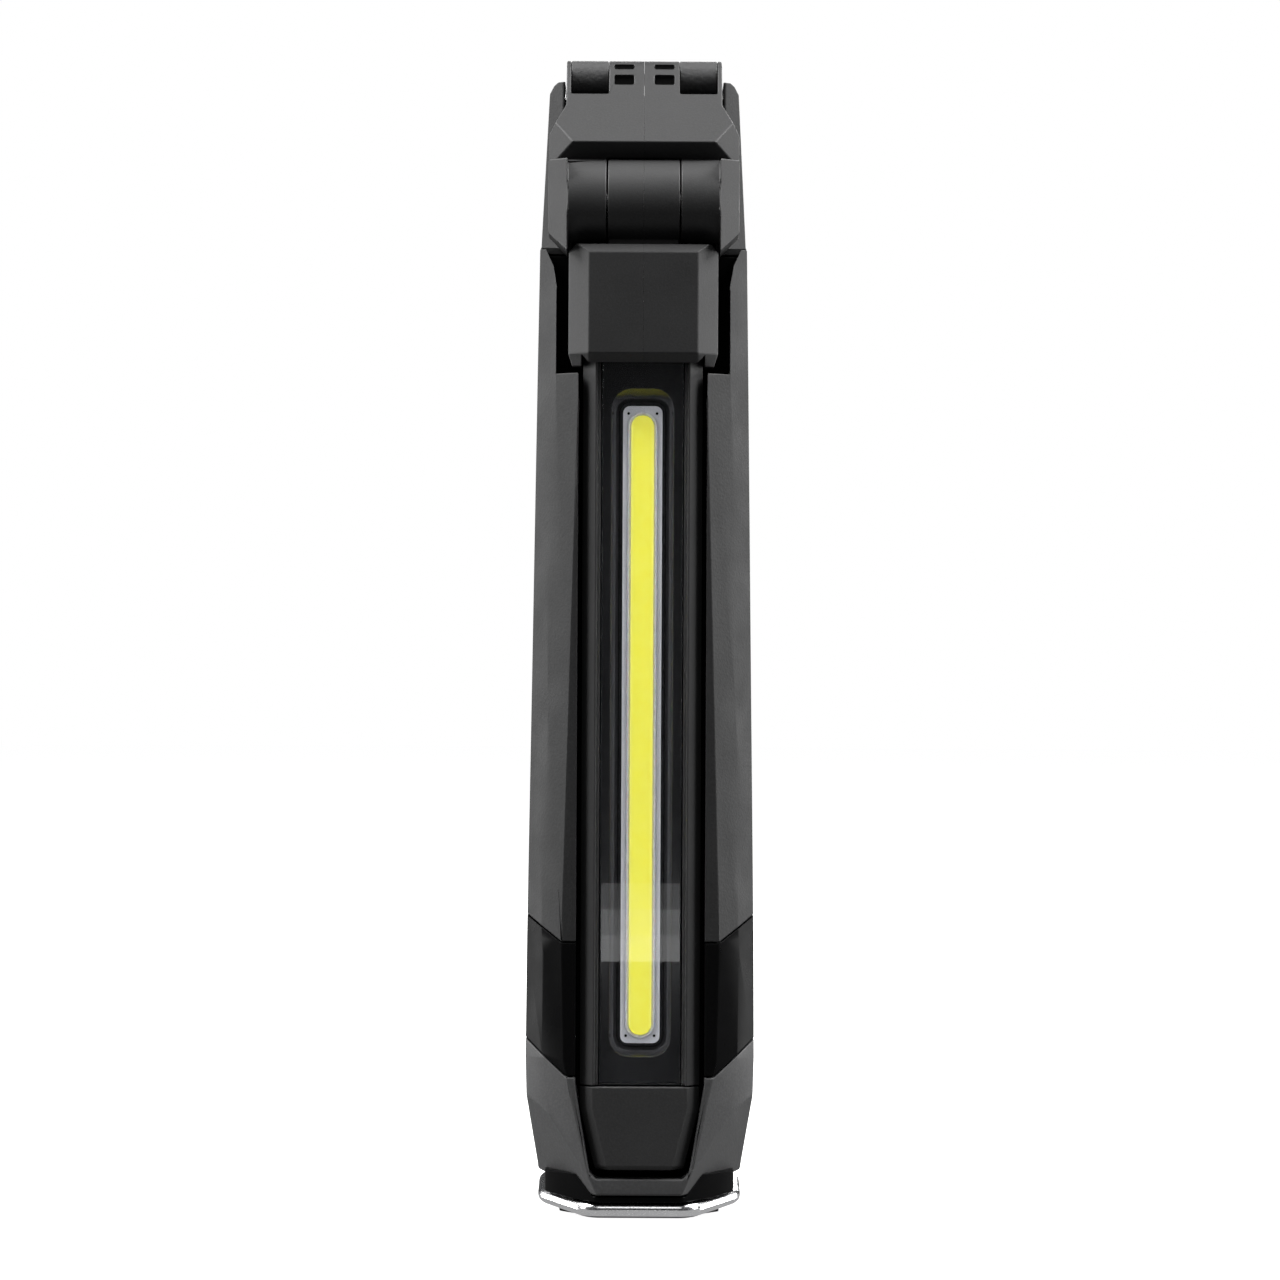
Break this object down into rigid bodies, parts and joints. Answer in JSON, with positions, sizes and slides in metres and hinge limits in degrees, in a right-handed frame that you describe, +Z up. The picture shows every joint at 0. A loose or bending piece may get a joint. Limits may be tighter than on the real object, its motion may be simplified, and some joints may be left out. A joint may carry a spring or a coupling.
{
  "type": "folding work light",
  "caption": "Folding rechargeable work light: handle on a flat base, short double-hinged link, slim light blade folded into the handle, steel bail hook.",
  "frame": {"origin": "centre of the overall box at the level of the flat bottom of the base block", "axes": "+X to the right seen from the front, +Y to the rear, +Z up along the handle; the light faces -Y when folded"},
  "size_m": [0.0462, 0.042, 0.2345],
  "materials": {
    "grip_rubber": "fine-grained matt rubber, dark grey",
    "bumper_rubber": "fine-grained matt rubber, dark grey",
    "casing_plastic": "smooth black moulded plastic, semi-matt",
    "moulded_plastic": "finely textured dark grey moulded plastic",
    "bracket_metal": "coarse-grained dark grey coated casting",
    "screw_steel": "plain steel",
    "bail_steel": "polished steel rod",
    "magnet_nickel": "nickel-plated magnet",
    "back_plate_aluminium": "black anodised aluminium",
    "reflector_black": "gloss black moulded plastic",
    "lens_clear": "clear polished plastic window",
    "gauge_lens": "smoked translucent plastic",
    "led_board_white": "white coated strip board",
    "phosphor_yellow": "yellow phosphor gel, unlit",
    "circuit_board": "green solder mask",
    "cell_wrap": "shrink wrap",
    "control_rubber": "smooth black rubber"
  },
  "bodies": {
    "handle": {"grip_left": "grip_rubber", "grip_right": "grip_rubber", "bumper": "bumper_rubber", "front_shell": "casing_plastic", "rear_shell": "casing_plastic", "base_block": "casing_plastic", "tactile_switch": "casing_plastic", "battery_tray": "casing_plastic", "hinge_bracket": "bracket_metal", "shell_screw_lower_left": "screw_steel", "shell_screw_lower_right": "screw_steel", "shell_screw_upper_left": "screw_steel", "shell_screw_upper_right": "screw_steel", "base_screw_left": "screw_steel", "base_screw_right": "screw_steel", "bracket_screw_left": "screw_steel", "bracket_screw_right": "screw_steel", "upper_hinge_pin": "screw_steel", "charging_socket": "screw_steel", "base_magnet": "magnet_nickel", "rear_magnet": "magnet_nickel", "charge_gauge_lens": "gauge_lens", "main_circuit_board": "circuit_board", "charging_board": "circuit_board", "battery_cell_left": "cell_wrap", "battery_cell_right": "cell_wrap", "rear_magnet_cover": "control_rubber"},
    "link": {"link_left": "moulded_plastic", "link_right": "moulded_plastic", "link_screw": "screw_steel", "lower_hinge_pin": "screw_steel", "friction_washer_left": "screw_steel", "friction_washer_right": "screw_steel"},
    "blade": {"cap_left": "moulded_plastic", "cap_right": "moulded_plastic", "cap_screw": "screw_steel", "blade_frame": "moulded_plastic", "blade_back_plate": "back_plate_aluminium", "heat_sink": "back_plate_aluminium", "back_plate_screw_lower": "screw_steel", "back_plate_screw_upper": "screw_steel", "led_board": "led_board_white", "led_dam": "led_board_white", "led_phosphor": "phosphor_yellow", "reflector": "reflector_black", "lens": "lens_clear", "blade_tip": "moulded_plastic", "tip_screw_left": "screw_steel", "tip_screw_right": "screw_steel"},
    "bail": {"bail": "bail_steel"},
    "power_button": {"power_button": "control_rubber"},
    "port_cover": {"port_cover": "control_rubber"}
  },
  "joints": [
    {"name": "link_fold", "type": "hinge", "parent": "handle", "child": "link", "pos_m": [0, 0.0012, 0.2308], "axis": [-1, 0, 0], "range_deg": [0, 180]},
    {"name": "blade_fold", "type": "hinge", "parent": "link", "child": "blade", "pos_m": [0, -0.0125, 0.2045], "axis": [-1, 0, 0], "range_deg": [0, 115]},
    {"name": "bail_swing", "type": "hinge", "parent": "handle", "child": "bail", "pos_m": [0, 0.012, 0.0054], "axis": [1, 0, 0], "range_deg": [0, 170]},
    {"name": "power_press", "type": "slide", "parent": "handle", "child": "power_button", "axis": [0, -1, 0], "range_m": [0, 0.0007], "stiffness_N_per_m": 2500},
    {"name": "port_cover_flip", "type": "hinge", "parent": "handle", "child": "port_cover", "pos_m": [0, 0.0189, 0.036], "axis": [-1, 0, 0], "range_deg": [0, 110]}
  ]
}
